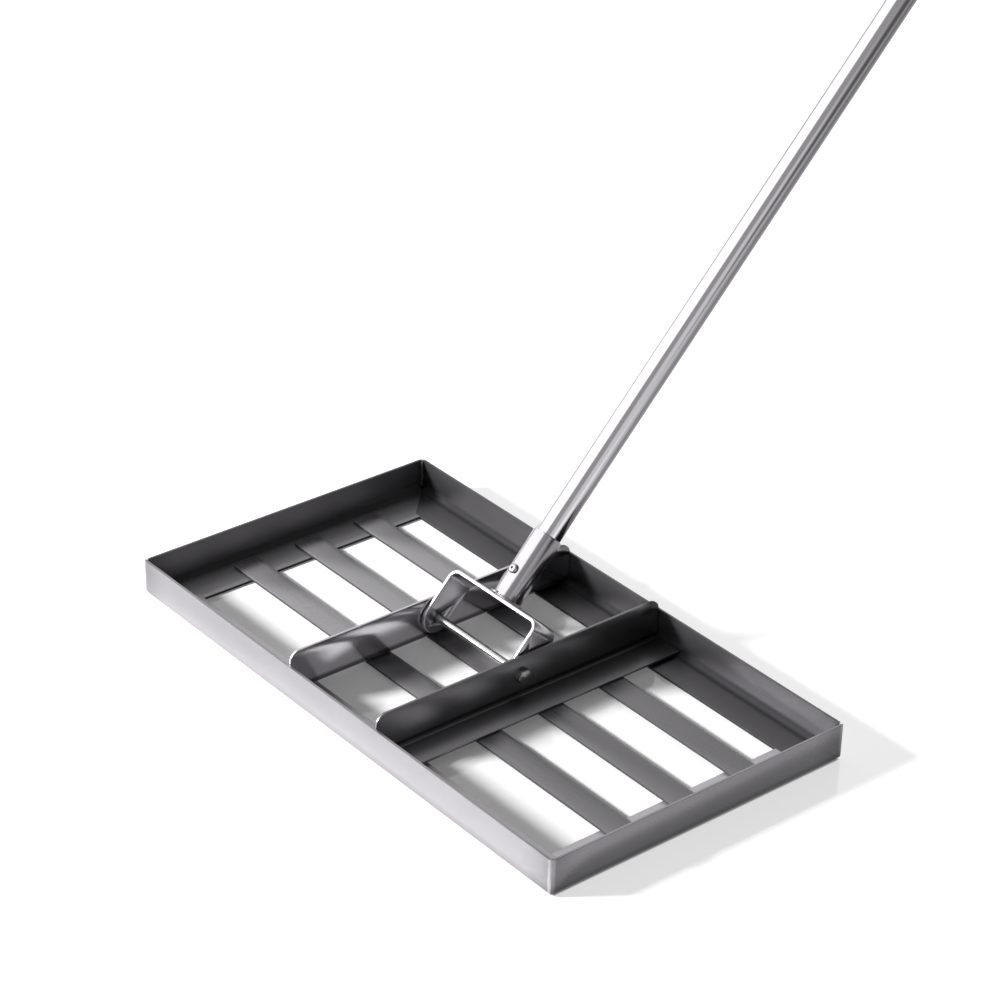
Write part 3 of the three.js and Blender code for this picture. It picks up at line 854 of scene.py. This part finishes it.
tubeForm = {"outer": 0.0095, "wall": 0.0006, "lip": 0.0005, "lipTurn": (0.2, 0.35), "lipEnd": 0.6, "steps": 72}
capForm = {"plugGap": 0.0008, "skirt": 0.005, "skirtEase": (0.0002, 0.0003), "dome": 0.004, "domeSteps": 12,
           "groove": 0.0004, "grooveAt": (0.55, 0.62, 0.69)}


def tubePiece(node, name):
    form = tubeForm
    bottom, top = alongHandle(node)
    outer = form["outer"]
    inner = outer - form["wall"]
    lip = form["lip"]
    turnIn, turnUp = (lip * share for share in form["lipTurn"])
    end = outer - lip * form["lipEnd"]
    points = [(inner, bottom), (end, bottom), (outer - turnIn, bottom + turnUp), (outer, bottom + lip),
              (outer, top - lip), (outer - turnIn, top - turnUp), (end, top), (inner, top)]
    bm = spun(points, form["steps"], loop=True)
    finishPiece(name, bm, handlePlace, node, "handle", steels["tubeSteel"],
                smoothTo=50)


def capPiece():
    form = capForm
    bottom, top = alongHandle("end_cap")
    outer = tubeForm["outer"]
    seat = top - form["skirt"] - form["dome"]
    plug = outer - form["plugGap"]
    easeIn, easeUp = form["skirtEase"]
    grooveFoot, grooveMiddle, grooveTop = (seat + form["skirt"] * share for share in form["grooveAt"])
    points = [(0, bottom), (plug, bottom), (plug, seat), (outer - easeIn, seat), (outer, seat + easeUp),
              (outer, grooveFoot), (outer - form["groove"], grooveMiddle), (outer, grooveTop),
              (outer, seat + form["skirt"])]
    for turn in quarterTurns(form["domeSteps"]):
        points.append((outer * math.cos(turn), seat + form["skirt"] + form["dome"] * math.sin(turn)))
    points.append((0, top))
    bm = spun(points, tubeForm["steps"])
    finishPiece("roundCap", bm, handlePlace, "end_cap", "handle", blackPlastic,
                smoothTo=40)


tubePiece("lower_tube", "lowerTube")
tubePiece("middle_tube", "middleTube")
tubePiece("upper_tube", "upperTube")
capPiece()

for node in ("lower_tube_insert", "middle_tube_insert", "middle_tube_stud", "upper_tube_stud"):
    slots = frame["nodes"][node].data.materials
    slots.clear()
    slots.append(blackPlastic)
print("handle made")


# studio: a white glossy floor, one soft lamp in front on the left, and a room with bright and dark sides

# inside and outside: the floor's glow within the rake's frame and beyond it, for rays that see it
floorForm = {"size": 60, "drop": 0.00015, "tone": 0.87, "rough": 0.05, "ior": 1.6, "inside": 0.12,
             "outside": 0.65, "edge": 0.002}
# level: strength, where 1 is white. towards: the direction of a patch. fade: where it begins and is full, as a
# cosine, or as a part of the direction. ambient: the share of the room that lights the object
room = {
    "level": 0.48,
    "farRight": {"level": 0.15, "towards": (0.65, 0.76, 0.0), "fade": (0.62, 0.74)},
    "farLeft": {"level": 1.05, "towards": (-0.66, 0.56, 0.50), "fade": (0.74, 0.92)},
    "nearLeft": {"level": 2.0, "towards": (-0.59, -0.59, 0.556), "fade": (0.62, 0.70)},
    "horizon": {"level": 0.50, "fade": (0.16, 0.04)},
    "strip": {"level": 0.48, "fadeX": (0.7, 0.85), "fadeY": (0.05, -0.1)},
    "ambient": 0.11,
}
keyLamp = {"at": (-1.44, -2.28, 1.36), "size": (0.5, 0.5), "power": 214}


def makeFloor():
    form = floorForm
    bm = bmesh.new()
    bmesh.ops.create_grid(bm, x_segments=2, y_segments=2, size=form["size"] / 2)
    floor = linked("floor", meshOf("floor", bm))
    floor.location.z = -form["drop"]
    material, graph = newMaterial("whiteFloor")
    shader = graph.add("ShaderNodeBsdfPrincipled", None, {
        "Base Color": (*grey(form["tone"]), 1), "Roughness": form["rough"], "IOR": form["ior"]})
    x, y = graph.axes(graph.add("ShaderNodeTexCoord", out="Object"))[:2]
    halfX = wallRight
    halfY = wallFar - headMiddle.y
    within = graph.spread(graph.unsigned(x), halfX, halfX - form["edge"]) \
        * graph.spread(graph.unsigned(y - headMiddle.y), halfY, halfY - form["edge"])
    level = form["outside"] + within * (form["inside"] - form["outside"])
    glow = graph.add("ShaderNodeEmission", None, {"Color": (1, 1, 1, 1), "Strength": graph.seenRays() * level})
    both = graph.add("ShaderNodeAddShader", None, {0: shader, 1: glow})
    graph.add("ShaderNodeOutputMaterial", None, {"Surface": both})
    floor.data.materials.append(material)


def makeRoom():
    world = bpy.data.worlds.new("room")
    bpy.context.scene.world = world
    world.use_nodes = True
    graph = Graph(world.node_tree)
    x, y, z = graph.axes(graph.add("ShaderNodeTexCoord", out="Generated"))

    def patch(name):
        towardsX, towardsY, towardsZ = room[name]["towards"]
        return graph.spread(x * towardsX + y * towardsY + z * towardsZ, *room[name]["fade"])

    base = room["level"]
    level = base + patch("farRight") * (room["farRight"]["level"] - base)
    level = level + patch("farLeft") * (room["farLeft"]["level"] - base)
    level = level + patch("nearLeft") * (room["nearLeft"]["level"] - level)
    level = level + graph.spread(z, *room["horizon"]["fade"]) * (room["horizon"]["level"] - level)
    strip = graph.spread(x, *room["strip"]["fadeX"]) * graph.spread(y, *room["strip"]["fadeY"])
    level = level + strip * room["strip"]["level"]
    strength = room["ambient"] + graph.seenRays() * (1 - room["ambient"])
    background = graph.add("ShaderNodeBackground", None, {"Color": level, "Strength": strength})
    graph.add("ShaderNodeOutputWorld", None, {"Surface": background})


def makeLamp():
    light = bpy.data.lights.new("keyBox", "AREA")
    light.shape = "RECTANGLE"
    light.size, light.size_y = keyLamp["size"]
    light.energy = keyLamp["power"]
    holder = linked("keyBox", light)
    holder.location = headMiddle + Vector(keyLamp["at"])
    holder.rotation_euler = (-Vector(keyLamp["at"])).to_track_quat("-Z", "Y").to_euler()


makeFloor()
makeRoom()
makeLamp()
bpy.context.scene.view_settings.view_transform = "Standard"
print("studio lit")


# camera, solved from the photograph

shot = {"azimuth": 50.131, "elevation": 29.578, "roll": 1.59, "distance": 2.14046, "aside": 0.01448,
        "lift": 0.11989, "lens": 110.625, "sensor": 36, "clip": (0.05, 100)}


def makeCamera():
    azimuth = math.radians(shot["azimuth"])
    elevation = math.radians(shot["elevation"])
    back = Vector((math.sin(azimuth) * math.cos(elevation), -math.cos(azimuth) * math.cos(elevation),
                   math.sin(elevation)))
    level = (-back).cross(up).normalized()
    rise = level.cross(-back)
    roll = math.radians(shot["roll"])
    right = level * math.cos(roll) + rise * math.sin(roll)
    above = rise * math.cos(roll) - level * math.sin(roll)
    data = bpy.data.cameras.new("camera")
    data.sensor_width = shot["sensor"]
    data.lens = shot["lens"]
    data.clip_start, data.clip_end = shot["clip"]
    camera = linked("camera", data)
    camera.rotation_euler = Matrix((right, above, back)).transposed().to_euler()
    camera.location = headMiddle + back * shot["distance"] + right * shot["aside"] + above * shot["lift"]
    bpy.context.scene.camera = camera


makeCamera()

print("scene done")
